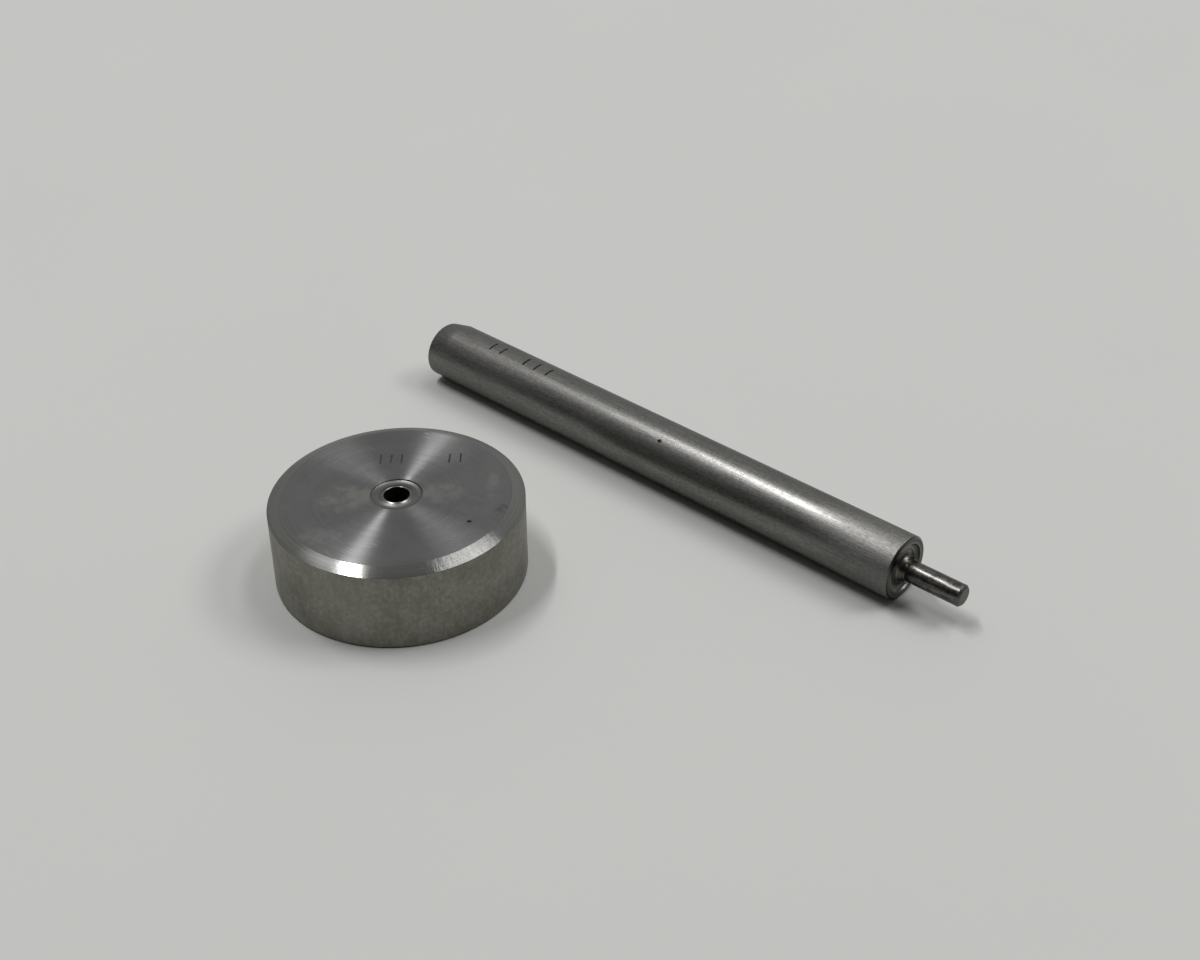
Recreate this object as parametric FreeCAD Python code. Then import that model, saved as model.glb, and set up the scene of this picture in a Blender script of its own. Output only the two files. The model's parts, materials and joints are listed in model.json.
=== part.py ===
import FreeCAD, Part
import math
import os

# Hand eyelet setter: a turned anvil that stands on the bench, and a setter that lies behind it.
# Units are millimetres. The origin is the centre of the anvil's foot, on the axis of its bore.
# +Z is up, and +X and +Y run along the bench.

# Anvil: a short round blank, faced and chamfered above and deburred below.
ANVIL_DIAMETER = 47.6
ANVIL_HEIGHT = 16.7
ANVIL_CHAMFER_WIDTH = 2.5
ANVIL_CHAMFER_DROP = 1.0
ANVIL_FOOT_BREAK = 0.3

# Seat: the ring sunk into the anvil's face, which holds the eyelet's flange.
SEAT_DIAMETER = 9.6
SEAT_EDGE_DEPTH = 0.18
SEAT_DEPTH = 0.46
LIP_WALL = 0.5
LIP_ROUND = 0.22
LIP_DROP = 0.04

# Setter shank: round bar, tapered where it is struck and formed where it curls the eyelet.
SHANK_DIAMETER = 12.7
SHANK_LENGTH = 120.65
FACE_EDGE_BREAK = 0.35

# The taper at the struck end is ground by hand, so its end leans off the bar's axis. The lean is a
# share of the taper's width, and its direction is an angle round the standing setter, from +X.
STRIKE_TAPER_LENGTH = 3.9
STRIKE_TAPER_WIDTH = 0.4
STRIKE_EDGE_BREAK = 0.25
STRIKE_LEAN_SHARE = 0.85
STRIKE_LEAN_DIRECTION = -42.0

# Curl: the hollow ring round the pilot that turns the eyelet's barrel outwards.
CURL_DEPTH = 0.7
CURL_RADIUS = 1.65
CURL_SIDE_WIDTH = 0.9
COLLAR_LEDGE = 0.2
COLLAR_HEIGHT = 1.15

# Pilot: the pin that guides the eyelet into the anvil's bore. Its tail is pressed into the shank,
# and its shoulder sits on the end of the shank's collar.
PILOT_DIAMETER = 4.3
PILOT_CLEARANCE = 0.23
PILOT_REACH = 12.4
PILOT_TIP_BREAK = 0.45
TAIL_DIAMETER = 3.2
TAIL_DEPTH = 14.0
TAIL_BREAK = 0.4
SOCKET_POINT_ANGLE = 118.0
SOCKET_POINT_GAP = 0.6

BORE_DIAMETER = PILOT_DIAMETER + 2 * PILOT_CLEARANCE

# Where the setter lies on the bench: the middle of its working face, and the way its pilot points.
FACE_PLACE_X = 93.5
FACE_PLACE_Y = -9.55
SETTER_HEADING = -41.65

BENCH_LEVEL = 0.0


def point(radius, height):
    """A point of a profile: the distance from the turning axis, then the height along it."""
    return FreeCAD.Vector(radius, 0.0, height)


def line(start, end):
    return Part.LineSegment(start, end).toShape()


def arc(start, middle, end):
    return Part.Arc(start, middle, end).toShape()


def turned(edges):
    """Turns a closed profile once round Z."""
    profile = Part.Face(Part.Wire(edges))
    return profile.revolve(FreeCAD.Vector(0, 0, 0), FreeCAD.Vector(0, 0, 1), 360.0)


def arc_middle(centre_radius, centre_height, radius, angle_deg):
    """The point of a circle that an arc passes on its way, at an angle from the outward direction."""
    angle = math.radians(angle_deg)
    return point(centre_radius + radius * math.cos(angle), centre_height + radius * math.sin(angle))


def anvil():
    """The anvil, with its through bore, its sunk seat and the rounded lip between the two."""
    outer = ANVIL_DIAMETER / 2
    bore = BORE_DIAMETER / 2
    top = ANVIL_HEIGHT
    seat = SEAT_DIAMETER / 2

    lip_outer = bore + LIP_WALL
    crest = top - LIP_DROP
    round_centre = bore + LIP_ROUND
    lip_side_height = crest - LIP_ROUND

    corners = [
        point(bore, 0.0),
        point(outer - ANVIL_FOOT_BREAK, 0.0),
        point(outer, ANVIL_FOOT_BREAK),
        point(outer, top - ANVIL_CHAMFER_DROP),
        point(outer - ANVIL_CHAMFER_WIDTH, top),
        point(seat, top),
        point(seat, top - SEAT_EDGE_DEPTH),
    ]
    edges = [line(a, b) for a, b in zip(corners, corners[1:])]

    # The hollow of the seat is one arc, which climbs again to the outside of the lip.
    seat_floor = point((seat + lip_outer) / 2, top - SEAT_DEPTH)
    lip_foot = point(lip_outer, top - SEAT_EDGE_DEPTH)
    edges.append(arc(corners[-1], seat_floor, lip_foot))

    # The lip has a short slope, a flat crest and a rounding that runs into the bore.
    lip_top = point(round_centre, crest)
    bore_mouth = point(bore, lip_side_height)
    edges.append(line(lip_foot, lip_top))
    edges.append(arc(lip_top, arc_middle(round_centre, lip_side_height, LIP_ROUND, 135.0), bore_mouth))
    edges.append(line(bore_mouth, corners[0]))
    return turned(edges)


def struck_taper():
    """The end of the standing shank that is struck, up to where the taper meets the plain bar."""
    outer = SHANK_DIAMETER / 2
    tapered = outer - STRIKE_TAPER_WIDTH
    lean = STRIKE_TAPER_WIDTH * STRIKE_LEAN_SHARE
    angle = math.radians(STRIKE_LEAN_DIRECTION)
    across = FreeCAD.Vector(lean * math.cos(angle), lean * math.sin(angle), 0.0)
    upright = FreeCAD.Vector(0, 0, 1)
    rings = [
        Part.makeCircle(tapered - STRIKE_EDGE_BREAK, across, upright),
        Part.makeCircle(tapered, across + upright * STRIKE_EDGE_BREAK, upright),
        Part.makeCircle(outer, upright * STRIKE_TAPER_LENGTH, upright),
    ]
    return Part.makeLoft([Part.Wire(ring) for ring in rings], True, True)


def setter_shank():
    """The shank, standing on its struck end, with the socket for the pilot in its working face."""
    outer = SHANK_DIAMETER / 2
    face = SHANK_LENGTH
    socket = TAIL_DIAMETER / 2
    socket_floor = face - TAIL_DEPTH - SOCKET_POINT_GAP
    point_depth = socket / math.tan(math.radians(SOCKET_POINT_ANGLE / 2))

    collar = PILOT_DIAMETER / 2 + COLLAR_LEDGE
    collar_top = face + COLLAR_HEIGHT
    floor_radius = collar + CURL_RADIUS
    floor_height = face - CURL_DEPTH
    rim = floor_radius + CURL_SIDE_WIDTH

    # The outer side of the hollow is an arc that leaves the floor level and ends at the rim.
    side_radius = (CURL_SIDE_WIDTH**2 + CURL_DEPTH**2) / (2 * CURL_DEPTH)
    side_turn = math.degrees(math.atan2(CURL_DEPTH - side_radius, CURL_SIDE_WIDTH))

    outside = [
        point(0.0, STRIKE_TAPER_LENGTH),
        point(outer, STRIKE_TAPER_LENGTH),
        point(outer, face - FACE_EDGE_BREAK),
        point(outer - FACE_EDGE_BREAK, face),
        point(rim, face),
    ]
    edges = [line(a, b) for a, b in zip(outside, outside[1:])]

    floor_point = point(floor_radius, floor_height)
    side_middle = arc_middle(floor_radius, floor_height + side_radius, side_radius, (side_turn - 90.0) / 2)
    edges.append(arc(outside[-1], side_middle, floor_point))

    # The inner side is a quarter round that ends along the collar, which hugs the pilot.
    curl_top = point(collar, floor_height + CURL_RADIUS)
    curl_middle = arc_middle(floor_radius, floor_height + CURL_RADIUS, CURL_RADIUS, -135.0)
    edges.append(arc(floor_point, curl_middle, curl_top))

    inside = [
        curl_top,
        point(collar, collar_top),
        point(socket, collar_top),
        point(socket, socket_floor),
        point(0.0, socket_floor - point_depth),
        outside[0],
    ]
    edges += [line(a, b) for a, b in zip(inside, inside[1:])]
    return turned(edges).fuse(struck_taper()).removeSplitter().Solids[0]


def pilot_pin():
    """The pilot and its tail, in their place in the standing shank."""
    radius = PILOT_DIAMETER / 2
    tail = TAIL_DIAMETER / 2
    tail_end = SHANK_LENGTH - TAIL_DEPTH
    shoulder = SHANK_LENGTH + COLLAR_HEIGHT
    tip = SHANK_LENGTH + PILOT_REACH
    corners = [
        point(0.0, tail_end),
        point(tail - TAIL_BREAK, tail_end),
        point(tail, tail_end + TAIL_BREAK),
        point(tail, shoulder),
        point(radius, shoulder),
        point(radius, tip - PILOT_TIP_BREAK),
        point(radius - PILOT_TIP_BREAK, tip),
        point(0.0, tip),
        point(0.0, tail_end),
    ]
    return turned([line(a, b) for a, b in zip(corners, corners[1:])])


def laid_on_bench(shape):
    """Lays a piece of the standing setter down on the bench, with the pilot along the heading."""
    lay_down = FreeCAD.Rotation(FreeCAD.Vector(0, 1, 0), 90.0)
    swing = FreeCAD.Rotation(FreeCAD.Vector(0, 0, 1), SETTER_HEADING)
    face_centre = FreeCAD.Vector(FACE_PLACE_X, FACE_PLACE_Y, BENCH_LEVEL + SHANK_DIAMETER / 2)
    turn = swing.multiply(lay_down)
    struck_end = face_centre - turn.multVec(FreeCAD.Vector(0, 0, SHANK_LENGTH))
    placed = shape.copy()
    placed.Placement = FreeCAD.Placement(struck_end, turn)
    return placed


def main():
    pieces = {
        "anvil": anvil(),
        "setter_shank": laid_on_bench(setter_shank()),
        "pilot_pin": laid_on_bench(pilot_pin()),
    }
    os.makedirs("parts", exist_ok=True)
    for name, shape in pieces.items():
        shape.exportStep(f"parts/{name}.step")
        box = shape.optimalBoundingBox()
        print(name, shape.ShapeType, len(shape.Solids), "valid", shape.isValid(), f"volume {shape.Volume:.1f}")
        print(f"  from {box.XMin:.2f} {box.YMin:.2f} {box.ZMin:.2f} to {box.XMax:.2f} {box.YMax:.2f} {box.ZMax:.2f}")


main()
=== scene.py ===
"""Dresses a hand eyelet setter: a turned anvil on the bench, and a setter that lies behind it.

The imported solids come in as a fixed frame. Each piece is turned again as a fine mesh, of the same size
and in the same place, gets the finish of each of its surfaces, and rides on its body.
Sizes are in millimetres, and MM turns them into the metres of the scene. Colours are 0 to 255, as a
paint chart gives them, and are made linear when they are used.
"""

import json
import logging
import math
from dataclasses import dataclass
from enum import Enum
from typing import Callable, Optional, Union

import bpy
import numpy as np
from mathutils import Matrix, Vector


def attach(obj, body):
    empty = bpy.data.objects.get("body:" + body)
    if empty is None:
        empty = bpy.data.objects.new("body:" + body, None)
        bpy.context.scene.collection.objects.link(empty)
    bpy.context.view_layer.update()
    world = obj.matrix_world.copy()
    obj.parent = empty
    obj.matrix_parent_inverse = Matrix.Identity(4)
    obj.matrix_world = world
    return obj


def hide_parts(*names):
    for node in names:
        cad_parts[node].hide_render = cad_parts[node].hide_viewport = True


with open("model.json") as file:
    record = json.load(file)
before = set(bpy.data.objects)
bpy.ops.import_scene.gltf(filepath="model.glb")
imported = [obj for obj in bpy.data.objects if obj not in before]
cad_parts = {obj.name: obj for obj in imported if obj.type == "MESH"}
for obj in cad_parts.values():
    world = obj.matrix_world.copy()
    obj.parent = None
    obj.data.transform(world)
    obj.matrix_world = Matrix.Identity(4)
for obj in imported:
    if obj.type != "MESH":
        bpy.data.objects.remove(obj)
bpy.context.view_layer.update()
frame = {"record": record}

LOG = logging.getLogger("eyelet_setter")

MM = 0.001
TURN = 2.0 * math.pi

# The map that runs round each turned piece, and the length on it of a millimetre of the section.
TURNING_MAP = "Turning"
TURNING_MAP_SCALE = 0.01

# How the meshes are made. SLACK is how far, in millimetres, the middle of a face may lie past the
# radius or height that bounds its surface.
MERGE_DISTANCE = 0.001 * MM
SMOOTH_ANGLE = math.radians(32.0)
SLACK = 0.004
ARC_PARTS = 8
CUTTER_STEPS = 16
BLUNT_PARTS = 3
BLUNT_LEAST_TURN = math.radians(16.0)
BLUNT_MOST_SHARE = 0.4

Point = tuple[float, float]
Triple = tuple[float, float, float]
Colour = tuple[int, int, int]
Value = Union[float, tuple[float, ...], bpy.types.NodeSocket]

ORIGIN = (0.0, 0.0, 0.0)


def linear(colour: Colour) -> tuple[float, float, float, float]:
    """Turns a 0 to 255 display colour into Blender's linear colour.

    Args:
        colour: Red, green and blue.

    Returns:
        The linear colour, with an alpha of 1.
    """
    parts = [part / 255.0 for part in colour]
    made = [part / 12.92 if part <= 0.04045 else ((part + 0.055) / 1.055) ** 2.4 for part in parts]
    return (made[0], made[1], made[2], 1.0)


class Grooves(Enum):
    """The way that the finest tool marks run on a surface."""

    AROUND = "around the axis, as turning leaves them"
    ALONG = "along the axis, as drawing leaves them"


class NodeBoard:
    """Adds nodes to one node tree and joins their sockets."""

    def __init__(self, tree: bpy.types.NodeTree) -> None:
        """Starts on a tree."""
        self.tree = tree

    def feed(self, socket: bpy.types.NodeSocket, value: Value) -> None:
        """Joins a socket to another, or sets its value."""
        if isinstance(value, bpy.types.NodeSocket):
            self.tree.links.new(value, socket)
        else:
            socket.default_value = value

    def add(self, kind: str, feeds: Optional[dict] = None, **settings: object) -> bpy.types.Node:
        """Adds a node.

        Args:
            kind: Blender's name of the node type.
            feeds: What each input, named or numbered, is fed with.
            **settings: The node's own settings.

        Returns:
            The new node.
        """
        node = self.tree.nodes.new(kind)
        for name, value in settings.items():
            setattr(node, name, value)
        for key, value in (feeds or {}).items():
            self.feed(node.inputs[key], value)
        return node

    def math(self, operation: str, *values: Value, clamp: bool = False) -> bpy.types.NodeSocket:
        """Works out one value from one, two or three others."""
        node = self.add("ShaderNodeMath", dict(enumerate(values)), operation=operation, use_clamp=clamp)
        return node.outputs[0]

    def vector(self, operation: str, *values: Value) -> bpy.types.Node:
        """Works on vectors, and returns the node because its answer may be a vector or a value."""
        return self.add("ShaderNodeVectorMath", dict(enumerate(values)), operation=operation)

    def times(self, first: Value, second: Value) -> bpy.types.NodeSocket:
        """Multiplies two values."""
        return self.math("MULTIPLY", first, second)

    def flat(self, place: Value) -> bpy.types.NodeSocket:
        """Drops the height of a place."""
        return self.vector("MULTIPLY", place, (1.0, 1.0, 0.0)).outputs[0]

    def remap(
        self, value: Value, low: float, high: float, to_low: float = 0.0, to_high: float = 1.0
    ) -> bpy.types.NodeSocket:
        """Carries a range smoothly to another, and holds the ends."""
        feeds = {0: value, 1: low, 2: high, 3: to_low, 4: to_high}
        return self.add("ShaderNodeMapRange", feeds, interpolation_type="SMOOTHSTEP").outputs[0]

    def noise(
        self, place: Value, scale: float = 1.0, detail: float = 2.0, rough: float = 0.5
    ) -> bpy.types.NodeSocket:
        """Reads a soft noise, from 0 to 1, at a place."""
        feeds = {"Vector": place, "Scale": scale, "Detail": detail, "Roughness": rough}
        return self.add("ShaderNodeTexNoise", feeds).outputs[0]

    def mix(self, share: Value, first: Value, second: Value) -> bpy.types.NodeSocket:
        """Mixes two colours by a share of the second."""
        node = self.add("ShaderNodeMix", {0: share, 6: first, 7: second}, data_type="RGBA")
        return node.outputs[2]

    def blend(self, share: Value, first: Colour, second: Colour) -> bpy.types.NodeSocket:
        """Mixes two paint-chart colours by a share of the second."""
        return self.mix(share, linear(first), linear(second))

    def tint(self, colour: Value, mask: Value, strength: float, tone: Colour) -> bpy.types.NodeSocket:
        """Tints a colour where a mask says, up to a full strength."""
        return self.mix(self.times(mask, strength), colour, linear(tone))


def start_group(
    name: str, feeds: dict[str, Value], gives: tuple[str, ...]
) -> tuple[NodeBoard, bpy.types.bpy_prop_collection, bpy.types.bpy_prop_collection]:
    """Starts a node group with named sockets.

    Args:
        name: The group's name.
        feeds: The inputs and their usual values; a tuple makes a vector.
        gives: The outputs, which are all values.

    Returns:
        The board of the group, the sockets that its inputs come from, and those that it fills.
    """
    tree = bpy.data.node_groups.new(name, "ShaderNodeTree")
    for label, value in feeds.items():
        kind = "NodeSocketVector" if isinstance(value, tuple) else "NodeSocketFloat"
        socket = tree.interface.new_socket(name=label, in_out="INPUT", socket_type=kind)
        socket.default_value = value
    for label in gives:
        tree.interface.new_socket(name=label, in_out="OUTPUT", socket_type="NodeSocketFloat")
    board = NodeBoard(tree)
    return board, board.add("NodeGroupInput").outputs, board.add("NodeGroupOutput").inputs


def make_turning() -> bpy.types.NodeTree:
    """Makes the rings that a turning tool leaves.

    Returns:
        A group that gives fine rings, broad bands and their height, each from 0 to 1.
    """
    board, feeds, gives = start_group(
        "TurningMarks", {"Place": ORIGIN, "Across": 0.0, "Pitch": 0.2}, ("Fine", "Bands", "Height")
    )
    around = board.vector("NORMALIZE", board.flat(feeds["Place"])).outputs[0]
    across = board.math("DIVIDE", feeds["Across"], feeds["Pitch"])
    lift = board.add("ShaderNodeCombineXYZ", {"Z": across}).outputs[0]
    rings = board.vector("ADD", around, lift).outputs[0]
    fine = board.noise(rings, 1.0, 2.0, 0.6)
    bands = board.noise(rings, 0.17, 2.0, 0.5)
    board.feed(gives["Fine"], fine)
    board.feed(gives["Bands"], bands)
    board.feed(gives["Height"], board.math("MULTIPLY_ADD", bands, 0.35, board.times(fine, 0.65)))
    return board.tree


def make_grain() -> bpy.types.NodeTree:
    """Makes the long fine streaks and soft mottle of cold-drawn bar.

    Returns:
        A group that gives streaks, mottle and their height, each from 0 to 1.
    """
    board, feeds, gives = start_group(
        "DrawnGrain", {"Place": ORIGIN, "Width": 0.3, "Length": 10.0}, ("Streaks", "Mottle", "Height")
    )
    size = board.add(
        "ShaderNodeCombineXYZ", {0: feeds["Width"], 1: feeds["Width"], 2: feeds["Length"]}
    ).outputs[0]
    drawn = board.vector("DIVIDE", feeds["Place"], size).outputs[0]
    streaks = board.noise(drawn, 1.0, 3.0, 0.65)
    mottle = board.noise(feeds["Place"], 1.15, 3.0, 0.6)
    board.feed(gives["Streaks"], streaks)
    board.feed(gives["Mottle"], mottle)
    board.feed(gives["Height"], board.math("MULTIPLY_ADD", mottle, 0.4, board.times(streaks, 0.6)))
    return board.tree


def make_scratches() -> bpy.types.NodeTree:
    """Makes thin broken scratches that run one way.

    Returns:
        A group that gives a mask of the scratches.
    """
    board, feeds, gives = start_group(
        "Scratches",
        {"Place": ORIGIN, "Turn": ORIGIN, "Length": 9.0, "Gap": 1.6, "Width": 0.02},
        ("Mask",),
    )
    turned = board.add(
        "ShaderNodeVectorRotate",
        {"Vector": feeds["Place"], "Rotation": feeds["Turn"]},
        rotation_type="EULER_XYZ",
    ).outputs[0]
    size = board.add(
        "ShaderNodeCombineXYZ", {0: feeds["Length"], 1: feeds["Gap"], 2: feeds["Gap"]}
    ).outputs[0]
    field = board.noise(board.vector("DIVIDE", turned, size).outputs[0], 1.0, 1.0, 0.3)
    off_line = board.math("ABSOLUTE", board.math("SUBTRACT", field, 0.5))
    thin = board.math("DIVIDE", off_line, feeds["Width"])
    line = board.remap(thin, 0.25, 1.0, 1.0, 0.0)
    kept = board.remap(board.noise(feeds["Place"], 0.33, 1.0), 0.5, 0.6)
    board.feed(gives["Mask"], board.times(line, kept))
    return board.tree


def make_specks() -> bpy.types.NodeTree:
    """Makes small scattered specks.

    Returns:
        A group that gives a mask of the specks.
    """
    board, feeds, gives = start_group(
        "Specks", {"Place": ORIGIN, "Spacing": 1.0, "Size": 0.2, "Share": 0.3}, ("Mask",)
    )
    cells = board.vector("DIVIDE", feeds["Place"], feeds["Spacing"]).outputs[0]
    found = board.add("ShaderNodeTexVoronoi", {"Vector": cells, "Scale": 1.0})
    edge = board.math("DIVIDE", found.outputs["Distance"], feeds["Size"])
    dot = board.remap(edge, 0.5, 1.0, 1.0, 0.0)
    lot = board.add("ShaderNodeSeparateColor", {0: found.outputs["Color"]}).outputs[0]
    board.feed(gives["Mask"], board.times(dot, board.math("LESS_THAN", lot, feeds["Share"])))
    return board.tree


def make_spot() -> bpy.types.NodeTree:
    """Makes one soft, ragged patch round a point.

    Returns:
        A group that gives a mask of the patch.
    """
    board, feeds, gives = start_group(
        "SoftSpot",
        {"Place": ORIGIN, "Centre": ORIGIN, "Size": (1.0, 1.0, 1.0), "Ragged": 0.3},
        ("Mask",),
    )
    away = board.vector("SUBTRACT", feeds["Place"], feeds["Centre"]).outputs[0]
    sized = board.vector("DIVIDE", away, feeds["Size"]).outputs[0]
    reach = board.vector("LENGTH", sized).outputs["Value"]
    wander = board.math("SUBTRACT", board.noise(sized, 1.7, 3.0, 0.6), 0.5)
    ragged = board.math("MULTIPLY_ADD", wander, feeds["Ragged"], reach)
    board.feed(gives["Mask"], board.remap(ragged, 0.45, 1.0, 1.0, 0.0))
    return board.tree


class Effect(Enum):
    """The effects that more than one finish uses, each with the function that makes its group."""

    TURNING = "turning"
    GRAIN = "grain"
    SCRATCHES = "scratches"
    SPECKS = "specks"
    SPOT = "spot"


EFFECT_MAKERS: dict[Effect, Callable[[], bpy.types.NodeTree]] = {
    Effect.TURNING: make_turning,
    Effect.GRAIN: make_grain,
    Effect.SCRATCHES: make_scratches,
    Effect.SPECKS: make_specks,
    Effect.SPOT: make_spot,
}


class EffectShelf:
    """Makes each shared effect once and lends it to every finish."""

    def __init__(self) -> None:
        """Starts with nothing made."""
        self.made: dict[Effect, bpy.types.NodeTree] = {}

    def lay(self, board: NodeBoard, effect: Effect, **feeds: Value) -> bpy.types.bpy_prop_collection:
        """Lays an effect on a board.

        Args:
            board: The board of the material.
            effect: Which effect.
            **feeds: The values of its inputs.

        Returns:
            The sockets that it gives.
        """
        if effect not in self.made:
            self.made[effect] = EFFECT_MAKERS[effect]()
        node = board.add("ShaderNodeGroup", node_tree=self.made[effect])
        for label, value in feeds.items():
            board.feed(node.inputs[label], value)
        return node.outputs


@dataclass(frozen=True)
class Laying:
    """How an upright piece is laid in the row frame: a turn, then a shift in metres."""

    shift: Triple = ORIGIN
    turn: Triple = ORIGIN


@dataclass
class Ground:
    """What a finish paints on: a board, the effects, and each point's upright place in millimetres."""

    board: NodeBoard
    effects: EffectShelf
    place: bpy.types.NodeSocket
    radius: bpy.types.NodeSocket
    height: bpy.types.NodeSocket

    def effect(self, effect: Effect, **feeds: Value) -> bpy.types.bpy_prop_collection:
        """Lays an effect at the piece's own place."""
        return self.effects.lay(self.board, effect, Place=self.place, **feeds)

    def spot(self, centre: Triple, size: Triple, ragged: float) -> bpy.types.NodeSocket:
        """Masks one ragged patch of the piece."""
        return self.effect(Effect.SPOT, Centre=centre, Size=size, Ragged=ragged)["Mask"]


@dataclass
class Surface:
    """What a finish paints: its colour, its roughness, and its relief with the relief's full depth."""

    colour: Value
    roughness: Value
    relief: bpy.types.NodeSocket
    depth: float


@dataclass(frozen=True)
class Finish:
    """The look of one surface of a steel piece.

    Attributes:
        name: The material's name.
        dark: The colour of the metal in the hollows of its marks.
        light: The colour of the metal on their crests.
        anisotropy: How much further the marks spread a reflection one way than the other.
        grooves: The way that the marks run.
        edge_tone: How bright the metal stays where it is seen at a low angle.
    """

    name: str
    dark: Colour
    light: Colour
    anisotropy: float = 0.0
    grooves: Grooves = Grooves.AROUND
    edge_tone: float = 1.0

    def paint(self, ground: Ground) -> Surface:
        """Paints the surface; every finish has its own way."""
        raise NotImplementedError

    def material(self, laying: Laying, effects: EffectShelf) -> bpy.types.Material:
        """Makes the material.

        Args:
            laying: How the upright piece was laid, so that the marks lie with it.
            effects: The shared effects.

        Returns:
            The new material.
        """
        made = bpy.data.materials.new(self.name)
        made.use_nodes = True
        made.node_tree.nodes.clear()
        board = NodeBoard(made.node_tree)
        upright = board.add(
            "ShaderNodeMapping",
            {
                "Vector": board.add("ShaderNodeTexCoord").outputs["Object"],
                "Location": laying.shift,
                "Rotation": laying.turn,
                "Scale": (MM, MM, MM),
            },
            vector_type="TEXTURE",
        ).outputs[0]
        ground = Ground(
            board=board,
            effects=effects,
            place=upright,
            radius=board.vector("LENGTH", board.flat(upright)).outputs["Value"],
            height=board.add("ShaderNodeSeparateXYZ", {0: upright}).outputs[2],
        )
        surface = self.paint(ground)
        bump = board.add("ShaderNodeBump", {"Height": surface.relief})
        bump.inputs["Distance"].default_value = surface.depth * MM
        shader = board.add(
            "ShaderNodeBsdfPrincipled",
            {"Base Color": surface.colour, "Roughness": surface.roughness, "Normal": bump.outputs[0]},
        )
        shader.inputs["Metallic"].default_value = 1.0
        edge = (self.edge_tone, self.edge_tone, self.edge_tone, 1.0)
        shader.inputs["Specular Tint"].default_value = edge
        if self.anisotropy:
            rotation = 0.25 if self.grooves is Grooves.AROUND else 0.0
            shader.inputs["Anisotropic"].default_value = self.anisotropy
            shader.inputs["Anisotropic Rotation"].default_value = rotation
            tangent = board.add("ShaderNodeTangent", direction_type="UV_MAP", uv_map=TURNING_MAP)
            board.feed(shader.inputs["Tangent"], tangent.outputs[0])
        board.feed(board.add("ShaderNodeOutputMaterial").inputs["Surface"], shader.outputs[0])
        return made


@dataclass(frozen=True)
class TurnedFace(Finish):
    """The anvil's faced top: close rings, soft patches, light scratches and a pit; the two pale patches
    near the bore are painted reflections.

    Attributes:
        pitch: The spacing of the rings.
        top: The height of the face.
        pit: The place of the pit.
        patches: Each soft patch's place, size, strength and tint. The first two are painted reflections,
            the next two worn areas, and the last a dark patch.
    """

    pitch: float = 0.21
    top: float = 16.7
    pit: Point = (14.0, -8.5)
    patches: tuple[tuple[Point, Triple, float, Colour], ...] = (
        # The first two patches are painted reflections: lighter tints that stand for light mirrored in
        # the face. The next two are worn areas, and the last is a dark patch.
        ((-8.8, -0.8), (6.4, 5.4, 4.0), 0.45, (160, 158, 152)),
        ((8.2, 0.8), (5.6, 4.2, 4.0), 0.4, (158, 159, 157)),
        ((-12.5, -12.5), (5.4, 2.8, 4.0), 0.35, (160, 161, 159)),
        ((17.6, 3.4), (1.6, 5.4, 4.0), 0.3, (160, 161, 159)),
        ((20.3, -4.6), (2.2, 1.8, 4.0), 0.6, (84, 84, 86)),
    )

    def paint(self, ground: Ground) -> Surface:
        """Paints the rings, then soft patches, two of which are painted reflections, and the marks of use
        over them.
        """
        board = ground.board
        marks = ground.effect(Effect.TURNING, Across=ground.radius, Pitch=self.pitch)
        grain = board.noise(ground.place, 4.5, 2.0, 0.7)
        tone = board.math("MULTIPLY_ADD", grain, 0.5, board.times(marks["Fine"], 0.5))
        colour = board.blend(board.remap(tone, 0.2, 0.8), self.dark, self.light)
        cloud = board.remap(board.noise(ground.place, 0.2, 4.0, 0.65), 0.4, 0.68)
        colour = board.tint(colour, cloud, 0.45, self.light)
        patch_streaks = board.remap(board.noise(ground.place, 0.5, 3.0, 0.5), 0.25, 0.62)
        # Each patch tints the face; the two pale ones near the bore paint a reflection into the colour.
        for centre, size, strength, tint in self.patches:
            patch = board.times(ground.spot((*centre, self.top), size, 1.3), patch_streaks)
            colour = board.tint(colour, patch, strength, tint)
        along = (0.0, 0.0, 0.55)
        worn = ground.effect(Effect.SCRATCHES, Turn=along, Length=60.0, Gap=1.3, Width=0.012)["Mask"]
        colour = board.tint(colour, worn, 0.12, (190, 190, 186))
        pit = ground.spot((*self.pit, self.top), (0.6, 0.5, 0.6), 0.5)
        colour = board.mix(pit, colour, linear((40, 39, 36)))
        rough = board.math("MULTIPLY_ADD", marks["Fine"], 0.05, 0.228)
        rough = board.math("MULTIPLY_ADD", worn, 0.03, rough)
        relief = board.math("SUBTRACT", marks["Height"], board.times(pit, 3.0))
        return Surface(colour, rough, relief, 0.002)


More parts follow.
